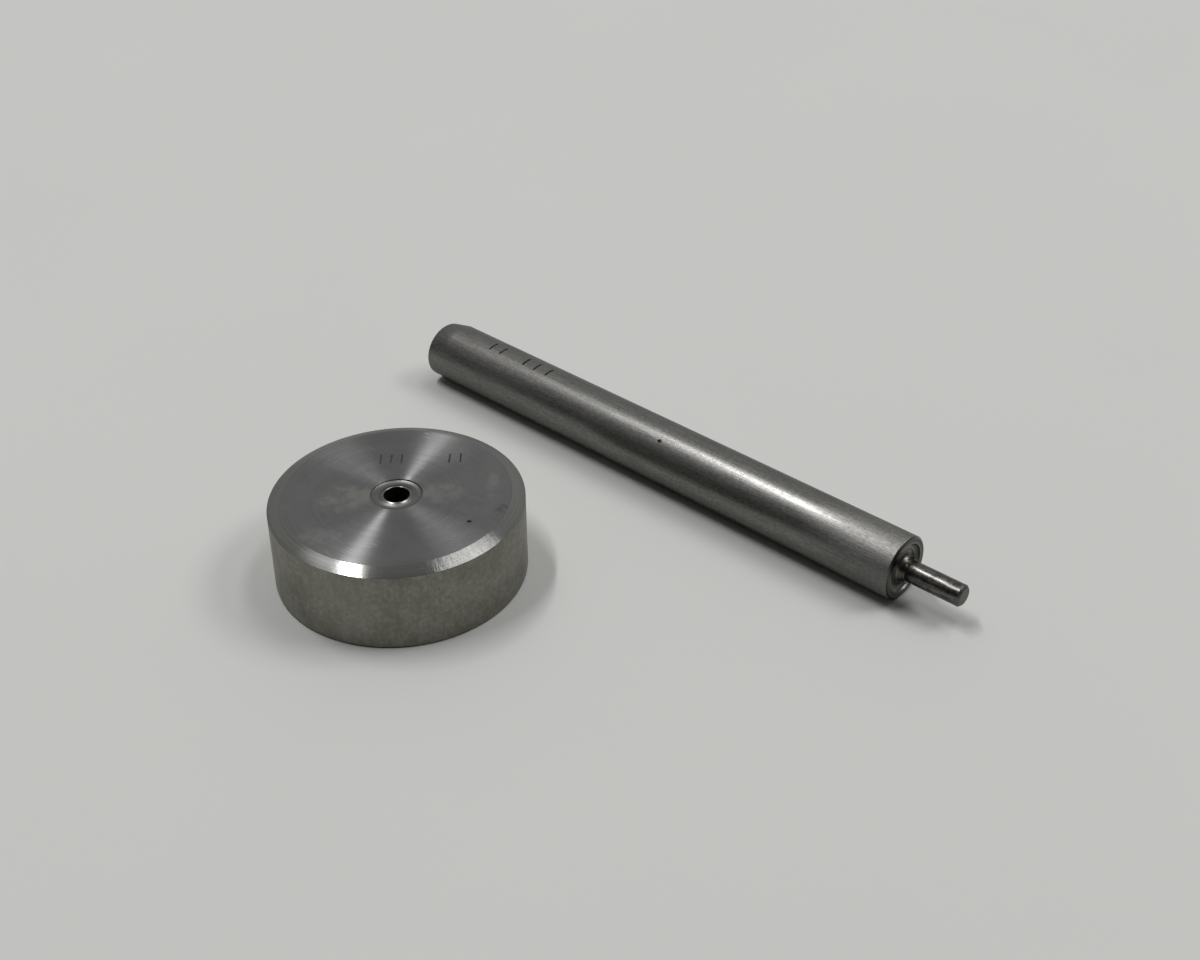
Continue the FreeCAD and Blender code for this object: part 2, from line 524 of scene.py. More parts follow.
@dataclass(frozen=True)
class Chamfer(Finish):
    """A turned chamfer, smooth but for one stretch where the tool chattered across the cut.

    Attributes:
        pitch: The spacing of the rings.
        chatter: How closely the short marks of the chatter follow each other round the chamfer.
        rough_stretch: The middle of the stretch that carries them.
    """

    pitch: float = 0.16
    chatter: float = 46.0
    rough_stretch: Triple = (14.4, -17.4, 16.2)

    def paint(self, ground: Ground) -> Surface:
        """Paints rings all round, and the short marks of the chatter on their stretch."""
        board = ground.board
        marks = ground.effect(Effect.TURNING, Across=ground.radius, Pitch=self.pitch)
        around = board.vector("SCALE", board.vector("NORMALIZE", board.flat(ground.place)).outputs[0])
        around.inputs["Scale"].default_value = self.chatter
        lift = board.add("ShaderNodeCombineXYZ", {"Z": board.times(ground.radius, 0.5)}).outputs[0]
        short = board.noise(board.vector("ADD", around.outputs[0], lift).outputs[0], 1.0, 2.0, 0.6)
        stretch = ground.spot(self.rough_stretch, (10.0, 10.0, 6.0), 0.3)
        share = board.remap(stretch, 0.0, 1.0, 0.12, 1.0)
        chatter = board.math("MULTIPLY_ADD", board.math("SUBTRACT", short, 0.5), share, 0.5)
        tone = board.math("MULTIPLY_ADD", chatter, 0.7, board.times(marks["Fine"], 0.5))
        colour = board.blend(board.remap(tone, 0.25, 0.95), self.dark, self.light)
        specks = ground.effect(Effect.SPECKS, Spacing=0.5, Size=0.42, Share=0.6)["Mask"]
        colour = board.tint(colour, board.times(specks, stretch), 0.45, (70, 68, 64))
        rough = board.math("MULTIPLY_ADD", chatter, 0.1, 0.18)
        rough = board.math("MULTIPLY_ADD", stretch, 0.1, rough)
        relief = board.math("MULTIPLY_ADD", chatter, 12.0, marks["Height"])
        return Surface(colour, rough, relief, 0.002)


@dataclass(frozen=True)
class BarSide(Finish):
    """The anvil's rim, which is the drawn skin of the bar: dull, olive, with faint upright streaks."""

    def paint(self, ground: Ground) -> Surface:
        """Paints the drawn skin, its stains and its specks."""
        board = ground.board
        grain = ground.effect(Effect.GRAIN, Width=0.4, Length=5.0)
        tone = board.math("MULTIPLY_ADD", grain["Streaks"], 0.35, board.times(grain["Mottle"], 0.75))
        colour = board.blend(board.remap(tone, 0.3, 0.85), self.dark, self.light)
        stain = board.remap(board.noise(ground.place, 0.2, 4.0, 0.65), 0.42, 0.68)
        colour = board.tint(colour, stain, 0.5, (112, 111, 100))
        pale = ground.spot((-9.0, -22.0, 9.0), (9.0, 9.0, 13.0), 1.2)
        colour = board.tint(colour, pale, 0.22, (160, 160, 152))
        specks = ground.effect(Effect.SPECKS, Spacing=1.5, Size=0.2, Share=0.3)["Mask"]
        colour = board.tint(colour, specks, 0.3, (60, 58, 50))
        rough = board.math("MULTIPLY_ADD", grain["Mottle"], 0.14, 0.42)
        relief = board.math("SUBTRACT", grain["Height"], board.times(specks, 0.5))
        return Surface(colour, rough, relief, 0.006)


@dataclass(frozen=True)
class SeatSteel(Finish):
    """Small turned surfaces that eyelets rub, round the bore and on the pilot's tip.

    Attributes:
        pitch: The spacing of the rings.
        roughness: How dull the surface is.
    """

    pitch: float = 0.11
    roughness: float = 0.2

    def paint(self, ground: Ground) -> Surface:
        """Paints close rings and the polish of use."""
        board = ground.board
        marks = ground.effect(Effect.TURNING, Across=ground.radius, Pitch=self.pitch)
        colour = board.blend(board.remap(marks["Fine"], 0.3, 0.7), self.dark, self.light)
        rough = board.math("MULTIPLY_ADD", marks["Bands"], 0.1, self.roughness)
        return Surface(colour, rough, marks["Height"], 0.001)


@dataclass(frozen=True)
class PlainCut(Finish):
    """A drilled, sawn or engraved surface that few see: dull, with fine marks along its height.

    Attributes:
        pitch: The spacing of the marks.
        roughness: How dull the surface is.
    """

    pitch: float = 0.3
    roughness: float = 0.5

    def paint(self, ground: Ground) -> Surface:
        """Paints fine marks."""
        board = ground.board
        marks = ground.effect(Effect.TURNING, Across=ground.height, Pitch=self.pitch)
        colour = board.blend(board.remap(marks["Fine"], 0.3, 0.7), self.dark, self.light)
        rough = board.math("MULTIPLY_ADD", marks["Bands"], 0.1, self.roughness - 0.05)
        return Surface(colour, rough, marks["Height"], 0.002)


@dataclass(frozen=True)
class DrawnShank(Finish):
    """Cold-drawn round bar: bright and grainy, with faint long streaks, specks and one pit.

    Attributes:
        pit: The place of the pit on the upright bar.
        dulled: Where each end of the bar goes dull from handling: two heights, and how much duller.
    """

    pit: Triple = (-5.18, -3.67, 64.67)
    dulled: tuple[Triple, ...] = ((45.0, 15.0, 0.05), (98.0, 114.0, 0.17))

    def paint(self, ground: Ground) -> Surface:
        """Paints the drawn skin and what handling left on it."""
        board = ground.board
        streaks = ground.effect(Effect.GRAIN, Width=0.3, Length=8.0)["Streaks"]
        grain = ground.effect(Effect.GRAIN, Width=0.24, Length=0.7)
        tone = board.math("MULTIPLY_ADD", streaks, 0.5, board.times(grain["Streaks"], 0.6))
        colour = board.blend(board.remap(tone, 0.32, 0.8), self.dark, self.light)
        specks = ground.effect(Effect.SPECKS, Spacing=0.9, Size=0.2, Share=0.3)["Mask"]
        colour = board.tint(colour, specks, 0.35, (74, 72, 66))
        pit = ground.spot(self.pit, (0.5, 0.5, 0.7), 0.5)
        colour = board.mix(pit, colour, linear((34, 33, 31)))
        rough = board.math("MULTIPLY_ADD", grain["Mottle"], 0.14, 0.22)
        for start, end, share in self.dulled:
            rough = board.math("ADD", board.remap(ground.height, start, end, 0.0, share), rough)
        relief = board.math("SUBTRACT", grain["Height"], board.times(specks, 0.6))
        relief = board.math("SUBTRACT", relief, board.times(pit, 1.5))
        return Surface(colour, rough, relief, 0.012)


@dataclass(frozen=True)
class CurlFace(Finish):
    """The setter's working face: turned, hardened, and tinted by the heat near the pilot.

    Attributes:
        pitch: The spacing of the rings.
        heated: The radius at which the tint starts, and that at which it is full.
    """

    pitch: float = 0.08
    heated: tuple[float, float] = (4.6, 2.6)

    def paint(self, ground: Ground) -> Surface:
        """Paints the rings, then the straw and brown of the heat."""
        board = ground.board
        marks = ground.effect(Effect.TURNING, Across=ground.radius, Pitch=self.pitch)
        rings = board.math("MULTIPLY_ADD", marks["Bands"], 0.7, board.times(marks["Fine"], 0.3))
        colour = board.blend(board.remap(rings, 0.4, 0.6), self.dark, self.light)
        near = board.remap(ground.radius, *self.heated)
        heat = board.remap(board.noise(ground.place, 0.5, 2.0), 0.35, 0.65)
        colour = board.tint(colour, board.times(near, heat), 0.32, (120, 108, 88))
        rough = board.math("MULTIPLY_ADD", marks["Bands"], 0.14, 0.24)
        return Surface(colour, rough, marks["Bands"], 0.012)


@dataclass(frozen=True)
class GroundPin(Finish):
    """The pilot's side: bright, with long fine streaks that the eyelets have drawn along it."""

    def paint(self, ground: Ground) -> Surface:
        """Paints the streaks and light wear."""
        board = ground.board
        grain = ground.effect(Effect.GRAIN, Width=0.32, Length=4.0)
        tone = board.math("MULTIPLY_ADD", grain["Mottle"], 0.4, board.times(grain["Streaks"], 0.6))
        colour = board.blend(board.remap(tone, 0.36, 0.66), self.dark, self.light)
        rough = board.math("MULTIPLY_ADD", grain["Mottle"], 0.2, 0.18)
        return Surface(colour, rough, grain["Streaks"], 0.016)


class Outline:
    """One half of a turned section, drawn from point to point as (radius, height) in millimetres."""

    def __init__(self, radius: float, height: float) -> None:
        """Starts at a point."""
        self.points: list[Point] = [(radius, height)]

    def line(self, radius: float, height: float, parts: int = 1) -> "Outline":
        """Draws a straight run to a point, cut into equal parts."""
        start = self.points[-1]
        for part in range(1, parts + 1):
            share = part / parts
            across = start[0] + (radius - start[0]) * share
            self.points.append((across, start[1] + (height - start[1]) * share))
        return self

    def arc(
        self, centre: Point, size: float, first: float, last: float, parts: int = ARC_PARTS
    ) -> "Outline":
        """Draws an arc.

        Args:
            centre: The middle of its circle.
            size: The radius of its circle.
            first: The angle, in degrees from outwards, that it starts at.
            last: The angle that it ends at.
            parts: How many straight runs it is made of.

        Returns:
            The outline itself.
        """
        for part in range(1, parts + 1):
            angle = math.radians(first + (last - first) * part / parts)
            self.points.append((centre[0] + size * math.cos(angle), centre[1] + size * math.sin(angle)))
        return self

    def blunted(self, size: float) -> list[Point]:
        """Rounds every sharp corner a little, as deburring and use leave it.

        Args:
            size: How far from the corner the rounding starts.

        Returns:
            The points of the blunted section.
        """
        made = [self.points[0]]
        for before, corner, after in zip(self.points, self.points[1:], self.points[2:]):
            back = Vector(before) - Vector(corner)
            on = Vector(after) - Vector(corner)
            if back.angle(on) > math.pi - BLUNT_LEAST_TURN:
                made.append(corner)
                continue
            reach = min(size, BLUNT_MOST_SHARE * back.length, BLUNT_MOST_SHARE * on.length)
            start = Vector(corner) + back.normalized() * reach
            end = Vector(corner) + on.normalized() * reach
            for part in range(BLUNT_PARTS + 1):
                share = part / BLUNT_PARTS
                bend = start.lerp(Vector(corner), share).lerp(Vector(corner).lerp(end, share), share)
                made.append((bend.x, bend.y))
        made.append(self.points[-1])
        return made


def select_only(piece: bpy.types.Object) -> None:
    """Makes one object the selected and active one."""
    bpy.ops.object.select_all(action="DESELECT")
    piece.select_set(True)
    bpy.context.view_layer.objects.active = piece


def draw_wire(name: str, points: list[Vector]) -> bpy.types.Object:
    """Draws a wire by extruding one vertex from point to point, and leaves it in edit mode.

    Args:
        name: The name of the new object.
        points: The places that the wire runs through, in metres.

    Returns:
        The wire.
    """
    bpy.ops.object.select_all(action="DESELECT")
    bpy.ops.mesh.primitive_plane_add(size=MM)
    wire = bpy.context.active_object
    wire.name = name
    wire.data.name = name
    bpy.ops.object.mode_set(mode="EDIT")
    bpy.ops.mesh.select_all(action="SELECT")
    bpy.ops.mesh.merge(type="CENTER")
    bpy.ops.transform.translate(value=points[0])
    for start, end in zip(points, points[1:]):
        bpy.ops.mesh.extrude_region_move(TRANSFORM_OT_translate={"value": end - start})
    return wire


def spin_section(name: str, section: list[Point], steps: int, sweep: float = TURN) -> bpy.types.Object:
    """Spins a section round the upright axis into a closed solid.

    Args:
        name: The name of the new object.
        section: The points of the section, as (radius, height) in millimetres.
        steps: How many steps the spin takes.
        sweep: How far it spins, in radians.

    Returns:
        The turned solid, in object mode.
    """
    piece = draw_wire(name, [Vector((radius, 0.0, height)) * MM for radius, height in section])
    bpy.ops.mesh.select_all(action="SELECT")
    bpy.ops.mesh.spin(steps=steps, angle=sweep, center=ORIGIN, axis=(0.0, 0.0, 1.0))
    bpy.ops.mesh.select_all(action="SELECT")
    bpy.ops.mesh.remove_doubles(threshold=MERGE_DISTANCE)
    if sweep < TURN:
        bpy.ops.mesh.fill_holes(sides=0)
    bpy.ops.mesh.normals_make_consistent(inside=False)
    bpy.ops.object.mode_set(mode="OBJECT")
    return piece


def map_turning(piece: bpy.types.Object, section: list[Point]) -> None:
    """Gives a turned piece a map that runs round the axis and along the section.

    Args:
        piece: The upright piece.
        section: The points that it was spun from.
    """
    mesh = piece.data
    outline = np.array(section)
    steps = np.linalg.norm(np.diff(outline, axis=0), axis=1)
    run = np.concatenate([[0.0], np.cumsum(steps)])
    places = np.zeros(len(mesh.vertices) * 3)
    mesh.vertices.foreach_get("co", places)
    places = places.reshape(-1, 3) / MM
    flat = np.stack([np.hypot(places[:, 0], places[:, 1]), places[:, 2]], axis=1)
    nearest = np.argmin(((flat[:, None, :] - outline[None, :, :]) ** 2).sum(axis=2), axis=1)
    angles = np.arctan2(places[:, 1], places[:, 0])
    layer = mesh.uv_layers.new(name=TURNING_MAP)
    for face in mesh.polygons:
        middle = math.atan2(face.center.y, face.center.x)
        for loop in face.loop_indices:
            vertex = mesh.loops[loop].vertex_index
            off = (angles[vertex] - middle + math.pi) % TURN - math.pi
            angle = middle if flat[vertex, 0] < MERGE_DISTANCE / MM else middle + off
            layer.data[loop].uv = (angle / TURN, run[nearest[vertex]] * TURNING_MAP_SCALE)


def cut_away(piece: bpy.types.Object, cutters: list[bpy.types.Object]) -> None:
    """Cuts a set of cutters, which don't touch each other, out of a piece and deletes them.

    Args:
        piece: The piece that is cut.
        cutters: The closed solids that are taken out of it.
    """
    select_only(cutters[0])
    for cutter in cutters:
        cutter.select_set(True)
    bpy.ops.object.join()
    cutter = bpy.context.active_object
    select_only(piece)
    bpy.ops.object.modifier_add(type="BOOLEAN")
    modifier = piece.modifiers[-1]
    modifier.operation = "DIFFERENCE"
    modifier.solver = "EXACT"
    modifier.object = cutter
    bpy.ops.object.modifier_apply(modifier=modifier.name)
    bpy.data.objects.remove(cutter, do_unlink=True)


@dataclass(frozen=True)
class Region:
    """A surface of a piece: its finish, and which places, by radius and height, are on it."""

    finish: Finish
    holds: Callable[[float, float], bool]


def dress(piece: bpy.types.Object, regions: list[Region], laying: Laying, effects: EffectShelf) -> None:
    """Gives each face of an upright piece the finish of the first region that holds its middle.

    Args:
        piece: The upright piece.
        regions: Its surfaces, the narrowest first and the one that holds all the rest last.
        laying: How the piece will be laid.
        effects: The shared effects.
    """
    mesh = piece.data
    mesh.materials.clear()
    for region in regions:
        mesh.materials.append(region.finish.material(laying, effects))
    for face in mesh.polygons:
        radius = math.hypot(face.center.x, face.center.y) / MM
        height = face.center.z / MM
        held = (index for index, region in enumerate(regions) if region.holds(radius, height))
        face.material_index = next(held)


def lay_down(piece: bpy.types.Object, laying: Laying) -> None:
    """Turns and shifts a piece into its place, in its mesh, and smooths its shading."""
    select_only(piece)
    piece.rotation_euler = laying.turn
    piece.location = laying.shift
    bpy.ops.object.transform_apply(location=True, rotation=True, scale=True)
    bpy.ops.object.shade_smooth_by_angle(angle=SMOOTH_ANGLE)


def seat_in_frame(piece: bpy.types.Object, body: str, node: str) -> None:
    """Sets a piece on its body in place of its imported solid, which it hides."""
    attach(piece, body)
    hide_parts(node)


@dataclass
class TurnedPiece:
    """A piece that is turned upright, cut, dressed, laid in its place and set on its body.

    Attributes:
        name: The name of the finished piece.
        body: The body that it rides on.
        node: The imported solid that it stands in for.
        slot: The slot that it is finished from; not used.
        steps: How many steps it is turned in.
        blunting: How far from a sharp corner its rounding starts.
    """

    name: str
    body: str
    node: str
    slot: str
    steps: int
    blunting: float

    def section(self) -> list[Point]:
        """Draws the section; every piece has its own."""
        raise NotImplementedError

    def regions(self) -> list[Region]:
        """Lists the surfaces and their finishes; every piece has its own."""
        raise NotImplementedError

    def laying(self) -> Laying:
        """Says how the upright piece is laid; one that stands is left as it is."""
        return Laying()

    def cut(self, piece: bpy.types.Object) -> None:
        """Shapes what turning can't; a plain piece needs nothing."""

    def build(self, effects: EffectShelf) -> bpy.types.Object:
        """Makes the piece.

        Args:
            effects: The shared effects.

        Returns:
            The finished piece, in its place.
        """
        section = self.section()
        piece = spin_section(self.name, section, self.steps)
        map_turning(piece, section)
        self.cut(piece)
        dress(piece, self.regions(), self.laying(), effects)
        lay_down(piece, self.laying())
        seat_in_frame(piece, self.body, self.node)
        return piece


@dataclass(frozen=True)
class Stroke:
    """One engraved tally stroke: its place along and across the row, its length and its lean."""

    along: float
    across: float
    length: float
    lean: float = 0.0


@dataclass
class Anvil(TurnedPiece):
    """The anvil: a short faced and chamfered blank with a sunk seat round its bore.

    It carries plain tally strokes, which pair it with its setter.
    """

    name: str = "anvil_turned"
    body: str = "anvil_body"
    node: str = "anvil"
    slot: str = "anvil_steel"
    steps: int = 384
    blunting: float = 0.07
    diameter: float = 47.6
    height: float = 16.7
    chamfer_width: float = 2.5
    chamfer_drop: float = 1.0
    foot_break: float = 0.3
    bore: float = 4.76
    seat_diameter: float = 9.6
    seat_edge_depth: float = 0.18
    seat_depth: float = 0.46
    lip_wall: float = 0.5
    lip_round: float = 0.22
    lip_drop: float = 0.04
    stroke_width: float = 0.3
    stroke_depth: float = 0.14
    strokes: tuple[Stroke, ...] = (
        Stroke(-4.2, 11.3, 2.9, 2.0),
        Stroke(-2.2, 11.4, 2.8, -1.0),
        Stroke(-0.2, 11.5, 2.9, 1.0),
        Stroke(8.9, 11.6, 2.8, -2.0),
        Stroke(11.0, 11.8, 2.9, 1.0),
    )

    def section(self) -> list[Point]:
        """Draws the anvil's section, from the foot of the bore round to the foot again.

        Returns:
            The points of the section.
        """
        outer = self.diameter / 2
        inner = self.bore / 2
        seat = self.seat_diameter / 2
        lip = inner + self.lip_wall
        edge = self.height - self.seat_edge_depth
        crest = self.height - self.lip_drop
        half = (seat - lip) / 2
        sink = self.seat_depth - self.seat_edge_depth
        size = (half**2 + sink**2) / (2 * sink)
        spread = math.degrees(math.asin(half / size))
        outline = Outline(inner, 0.0)
        outline.line(outer - self.foot_break, 0.0, 4)
        outline.line(outer, self.foot_break)
        outline.line(outer, self.height - self.chamfer_drop, 3)
        outline.line(outer - self.chamfer_width, self.height, 2)
        outline.line(seat, self.height, 10)
        outline.line(seat, edge)
        outline.arc((seat - half, edge + size - sink), size, spread - 90.0, -spread - 90.0)
        outline.line(inner + self.lip_round, crest)
        outline.arc((inner + self.lip_round, crest - self.lip_round), self.lip_round, 90.0, 180.0)
        outline.line(inner, 0.0, 5)
        return outline.blunted(self.blunting)

    def stroke_cutters(self) -> list[bpy.types.Object]:
        """Makes the V-shaped cutters of the tally strokes.

        Returns:
            One cutter for each stroke.
        """
        made = []
        half = self.stroke_width
        depth = self.stroke_depth
        for number, stroke in enumerate(self.strokes):
            start = -stroke.length / 2
            corners = [(-half, start, depth), (0.0, start, -depth), (half, start, depth)]
            cutter = draw_wire(f"stroke_cutter_{number}", [Vector(corner) * MM for corner in corners])
            bpy.ops.mesh.select_all(action="SELECT")
            bpy.ops.mesh.edge_face_add()
            push = {"value": (0.0, stroke.length * MM, 0.0)}
            bpy.ops.mesh.extrude_region_move(TRANSFORM_OT_translate=push)
            bpy.ops.mesh.select_all(action="SELECT")
            bpy.ops.mesh.normals_make_consistent(inside=False)
            bpy.ops.object.mode_set(mode="OBJECT")
            cutter.rotation_euler.z = math.radians(stroke.lean)
            cutter.location = Vector((stroke.along, stroke.across, self.height)) * MM
            bpy.ops.object.transform_apply(location=True, rotation=True, scale=True)
            made.append(cutter)
        return made

    def regions(self) -> list[Region]:
        """Lists the anvil's surfaces and their finishes.

        Returns:
            The regions, narrowest first.
        """
        outer = self.diameter / 2
        face_edge = outer - self.chamfer_width
        seat = self.seat_diameter / 2
        under_face = self.height - SLACK
        in_chamfer = self.height - self.chamfer_drop + SLACK
        in_mouth = self.height - self.lip_drop - self.lip_round + SLACK
        bore = PlainCut("anvil_bore", (70, 70, 68), (90, 90, 87), roughness=0.45)
        lip_steel = SeatSteel("anvil_lip", (98, 98, 95), (128, 128, 125))
        seat_steel = SeatSteel("anvil_seat", (88, 88, 86), (110, 110, 108), roughness=0.34)
        # The strokes are coloured darker than the face around them: painted shade in their V-grooves.
        engraving = PlainCut("anvil_engraving", (74, 74, 72), (98, 98, 95), roughness=0.5)
        chamfer = Chamfer("anvil_chamfer", (114, 114, 112), (154, 154, 151), 0.98, edge_tone=0.7)
        side = BarSide("anvil_side", (119, 117, 109), (153, 151, 143))
        foot = PlainCut("anvil_foot", (96, 96, 93), (120, 120, 117))
        face = TurnedFace("anvil_face", (104, 105, 105), (129, 130, 129), 1.0)
        in_bore = self.bore / 2 + 0.03
        on_lip = self.bore / 2 + self.lip_wall
        return [
            Region(bore, lambda r, h: r < in_bore and h < in_mouth),
            Region(foot, lambda r, h: h < self.foot_break and r < outer - self.foot_break),
            Region(side, lambda r, h: r > outer - self.foot_break - SLACK and h < in_chamfer),
            Region(chamfer, lambda r, h: r > face_edge),
            Region(lip_steel, lambda r, h: r < on_lip),
            Region(seat_steel, lambda r, h: r < seat + self.blunting),
            Region(engraving, lambda r, h: h < under_face),
            Region(face, lambda r, h: True),
        ]

    def cut(self, piece: bpy.types.Object) -> None:
        """Engraves the tally strokes."""
        cut_away(piece, self.stroke_cutters())


def setter_laying() -> Laying:
    """Works out from the frame how the setter is laid.

    Returns:
        The laying that carries the upright setter, struck end down, to its place on the bench.
    """
    mounts = {mount["name"]: mount for mount in frame["record"]["mounts"]}
    heading = math.atan2(mounts["pilot"]["axis"][1], mounts["pilot"]["axis"][0])
    return Laying(tuple(mounts["struck_face"]["pos_m"]), (0.0, math.pi / 2, heading))


@dataclass
class SetterShank(TurnedPiece):
    """The shank: drawn bar, tapered where it is struck and hollowed to a curl where it works.

    The taper is ground by hand, so the struck end leans a little off the bar's axis. The shank
    carries the same tally strokes as its anvil, part of the way round.
    """

    name: str = "setter_shank_turned"
    body: str = "setter_body"
    node: str = "setter_shank"
    slot: str = "shank_steel"
    steps: int = 192
    blunting: float = 0.07
    diameter: float = 12.7
    length: float = 120.65
    taper_length: float = 3.9
    taper_width: float = 0.4
    strike_edge_break: float = 0.25
    lean_share: float = 0.85
    lean_direction: float = -42.0
    face_edge_break: float = 0.35
    curl_depth: float = 0.7
    curl_radius: float = 1.65
    curl_side_width: float = 0.9
    collar_radius: float = 2.35
    collar_height: float = 1.15
    socket_radius: float = 1.6
    socket_floor: float = 106.05
    socket_point: float = 0.96
    stroke_width: float = 0.48
    stroke_depth: float = 0.2
    stroke_sweep: float = 23.0
    stroke_start: float = 195.0
    stroke_heights: tuple[float, ...] = (15.2, 18.2, 25.0, 28.2, 31.6)

    def section(self) -> list[Point]:
        """Draws the shank's section, from the middle of the struck end to the point of the socket.

        Returns:
            The points of the section.
        """
        outer = self.diameter / 2
        face = self.length
        floor_radius = self.collar_radius + self.curl_radius
        floor = face - self.curl_depth
        side = (self.curl_side_width**2 + self.curl_depth**2) / (2 * self.curl_depth)
        rise = math.degrees(math.atan2(self.curl_depth - side, self.curl_side_width))
        outline = Outline(0.0, 0.0)
        tapered = outer - self.taper_width
        outline.line(tapered - self.strike_edge_break, 0.0, 3)
        outline.line(tapered, self.strike_edge_break)
        outline.line(outer, self.taper_length)
        outline.line(outer, self.taper_length + 1.0)
        outline.line(outer, face - self.face_edge_break, 12)
        outline.line(outer - self.face_edge_break, face)
        outline.line(floor_radius + self.curl_side_width, face, 2)
        outline.arc((floor_radius, floor + side), side, rise, -90.0)
        outline.arc((floor_radius, floor + self.curl_radius), self.curl_radius, -90.0, -180.0)
        outline.line(self.collar_radius, face + self.collar_height)
        outline.line(self.socket_radius, face + self.collar_height)
        outline.line(self.socket_radius, self.socket_floor, 2)
        outline.line(0.0, self.socket_floor - self.socket_point)
        return outline.blunted(self.blunting)

    def lean_struck_end(self, piece: bpy.types.Object) -> None:
        """Moves the end of the upright shank across, so that its taper is heavier on one side."""
        select_only(piece)
        bpy.ops.object.mode_set(mode="EDIT")
        bpy.ops.mesh.select_all(action="DESELECT")
        bpy.ops.object.mode_set(mode="OBJECT")
        limit = (self.strike_edge_break + self.blunting + 0.01) * MM
        for vertex in piece.data.vertices:
            vertex.select = vertex.co.z < limit
        lean = self.taper_width * self.lean_share * MM
        angle = math.radians(self.lean_direction)
        bpy.ops.object.mode_set(mode="EDIT")
        bpy.ops.transform.translate(value=(lean * math.cos(angle), lean * math.sin(angle), 0.0))
        bpy.ops.object.mode_set(mode="OBJECT")

    def stroke_cutters(self) -> list[bpy.types.Object]:
        """Makes the V-shaped cutters of the tally strokes, which run part of the way round.

        Returns:
            One cutter for each stroke.
        """
        inside = self.diameter / 2 - self.stroke_depth
        outside = self.diameter / 2 + self.stroke_depth
        half = self.stroke_width
        sweep = math.radians(self.stroke_sweep)
        made = []
        for number, height in enumerate(self.stroke_heights):
            corners = [
                (inside, height),
                (outside, height + half),
                (outside, height - half),
                (inside, height),
            ]
            cutter = spin_section(f"stroke_cutter_{number}", corners, CUTTER_STEPS, sweep)
            cutter.rotation_euler.z = math.radians(self.stroke_start)
            bpy.ops.object.transform_apply(location=True, rotation=True, scale=True)
            made.append(cutter)
        return made

    def regions(self) -> list[Region]:
        """Lists the shank's surfaces and their finishes.

        Returns:
            The regions, narrowest first.
        """
        outer = self.diameter / 2
        rim = self.length - self.face_edge_break
        struck = PlainCut("shank_struck_end", (104, 103, 99), (136, 135, 131), roughness=0.38)
        curl = CurlFace("shank_curl", (42, 41, 40), (112, 111, 107))
        # The strokes are coloured nearly black: painted shade in their V-grooves.
        engraving = PlainCut("shank_engraving", (24, 24, 23), (42, 42, 40), roughness=0.5)
        side = DrawnShank("shank_side", (94, 94, 92), (134, 133, 130), 0.6, Grooves.ALONG, 0.7)
        return [
            Region(curl, lambda r, h: h > rim or (r < outer - 1.0 and h > self.taper_length)),
            Region(struck, lambda r, h: h < self.strike_edge_break),
            Region(engraving, lambda r, h: r < outer - 4 * SLACK and h > self.taper_length),
            Region(side, lambda r, h: True),
        ]

    def laying(self) -> Laying:
        """Lays the shank with its setter."""
        return setter_laying()

    def cut(self, piece: bpy.types.Object) -> None:
        """Leans the struck end and engraves the tally strokes."""
        self.lean_struck_end(piece)
        cut_away(piece, self.stroke_cutters())


@dataclass
class PilotPin(TurnedPiece):
    """The pilot pin: a ground pin with a thinner tail that is pressed into the shank."""

    name: str = "pilot_pin_turned"
    body: str = "setter_body"
    node: str = "pilot_pin"
    slot: str = "pilot_steel"
    steps: int = 128
    blunting: float = 0.06
    diameter: float = 4.3
    tail_diameter: float = 3.2
    tail_end: float = 106.65
    tail_break: float = 0.4
    shoulder: float = 121.8
    tip: float = 133.05
    tip_break: float = 0.45

    def section(self) -> list[Point]:
        """Draws the pin's section, from the end of its tail to the middle of its tip.

        Returns:
            The points of the section.
        """
        radius = self.diameter / 2
        tail = self.tail_diameter / 2
        outline = Outline(0.0, self.tail_end)
        outline.line(tail - self.tail_break, self.tail_end)
        outline.line(tail, self.tail_end + self.tail_break)
        outline.line(tail, self.shoulder, 2)
        outline.line(radius, self.shoulder)
        outline.line(radius, self.tip - self.tip_break, 4)
        outline.line(radius - self.tip_break, self.tip)
        outline.line(0.0, self.tip, 3)
        return outline.blunted(self.blunting)

    def regions(self) -> list[Region]:
        """Lists the pin's surfaces and their finishes.

        Returns:
            The regions, narrowest first.
        """
        tip = SeatSteel("pilot_tip", (84, 83, 81), (114, 113, 110), roughness=0.4)
        side = GroundPin("pilot_side", (62, 61, 59), (118, 117, 114))
        return [
            Region(tip, lambda r, h: h > self.tip - self.tip_break),
            Region(side, lambda r, h: True),
        ]

    def laying(self) -> Laying:
        """Lays the pin with its setter."""
        return setter_laying()


@dataclass(frozen=True)
class CeilingLamp:
    """A long soft lamp that faces straight down.

    Attributes:
        name: Its name.
        beside: Its middle, in metres from the anvil along X and Y.
        width: Its size across the row of lamps.
        length: Its size along the row.
        power: Its power in watts.
    """

    name: str
    beside: Point
    width: float
    length: float
    power: float


